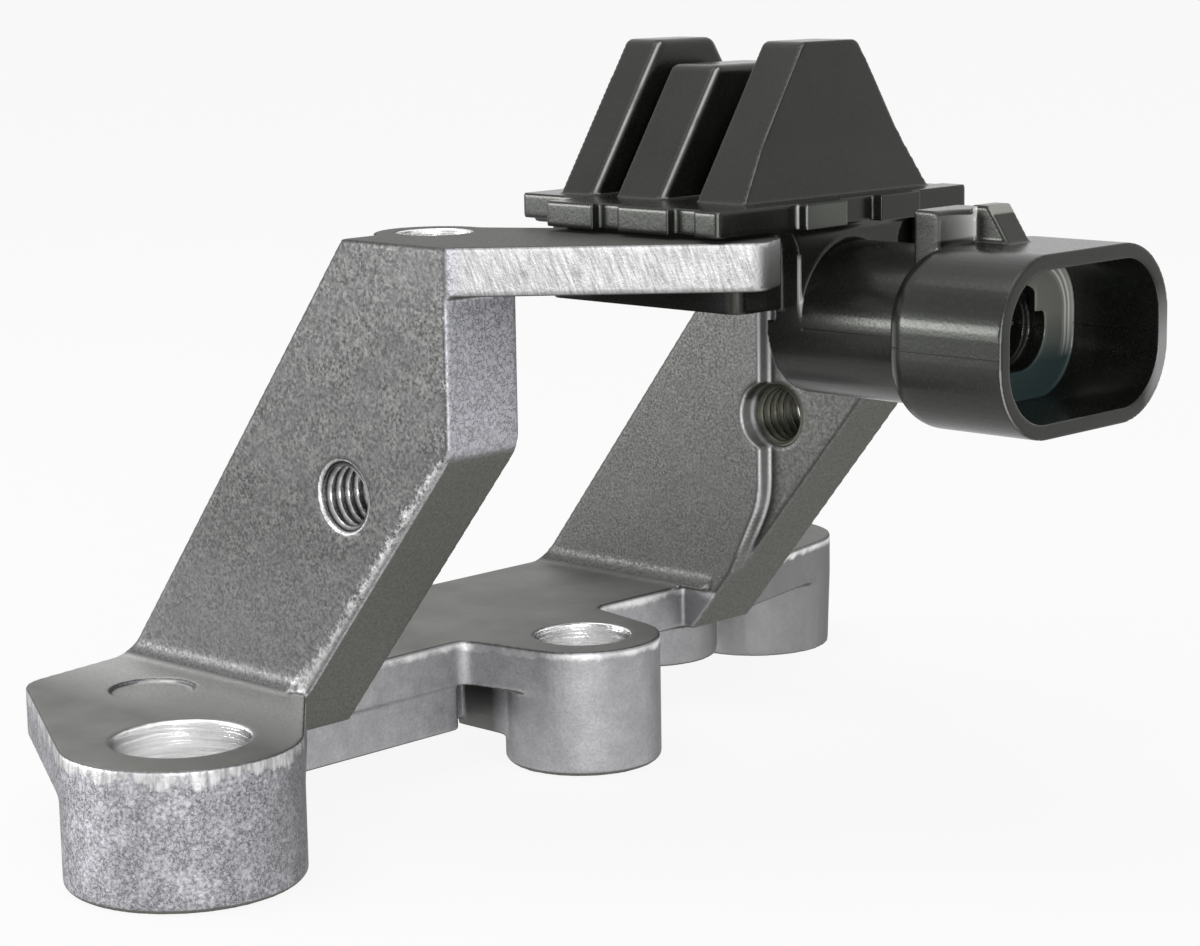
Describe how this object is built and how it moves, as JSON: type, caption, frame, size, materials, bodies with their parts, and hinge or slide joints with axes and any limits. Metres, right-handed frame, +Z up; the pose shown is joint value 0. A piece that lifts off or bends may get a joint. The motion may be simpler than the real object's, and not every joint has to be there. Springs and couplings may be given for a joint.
{
  "type": "crankshaft position sensor",
  "caption": "Black vane sensor with an oval sealed connector, seated in the V-shaped top plate of a cast bracket that bolts down.",
  "frame": {"origin": "on the near bolt hole's axis, in the plane that the bolt bosses stand on", "axes": "+X is the way the connector points, +Y runs from the near arm to the far arm, +Z is up along the bolt holes"},
  "size_m": [0.0823, 0.1115, 0.0668],
  "materials": {
    "cast_aluminium": "as cast, fine grain",
    "black_plastic": "moulded, slight sheen",
    "resin": "smooth cast resin",
    "board": "satin lacquer",
    "carrier": "matt",
    "chip": "matt",
    "ceramic": "matt",
    "steel": "bright rolled",
    "magnet": "nickel plated",
    "tinned_brass": "tin plated"
  },
  "bodies": {
    "root": {"bracket": "cast_aluminium", "sensor_housing": "black_plastic", "bottom_cover": "black_plastic", "potting": "resin", "circuit_board": "board", "hall_carrier_rear": "carrier", "hall_carrier_front": "carrier", "hall_cell_rear": "chip", "hall_cell_front": "chip", "concentrator_rear": "steel", "concentrator_front": "steel", "magnet": "magnet", "pole_plate_rear": "steel", "pole_plate_front": "steel", "capacitor_a": "ceramic", "capacitor_b": "ceramic", "resistor": "chip", "terminal_a": "tinned_brass", "terminal_b": "tinned_brass", "terminal_c": "tinned_brass", "terminal_d": "tinned_brass"}
  },
  "joints": []
}
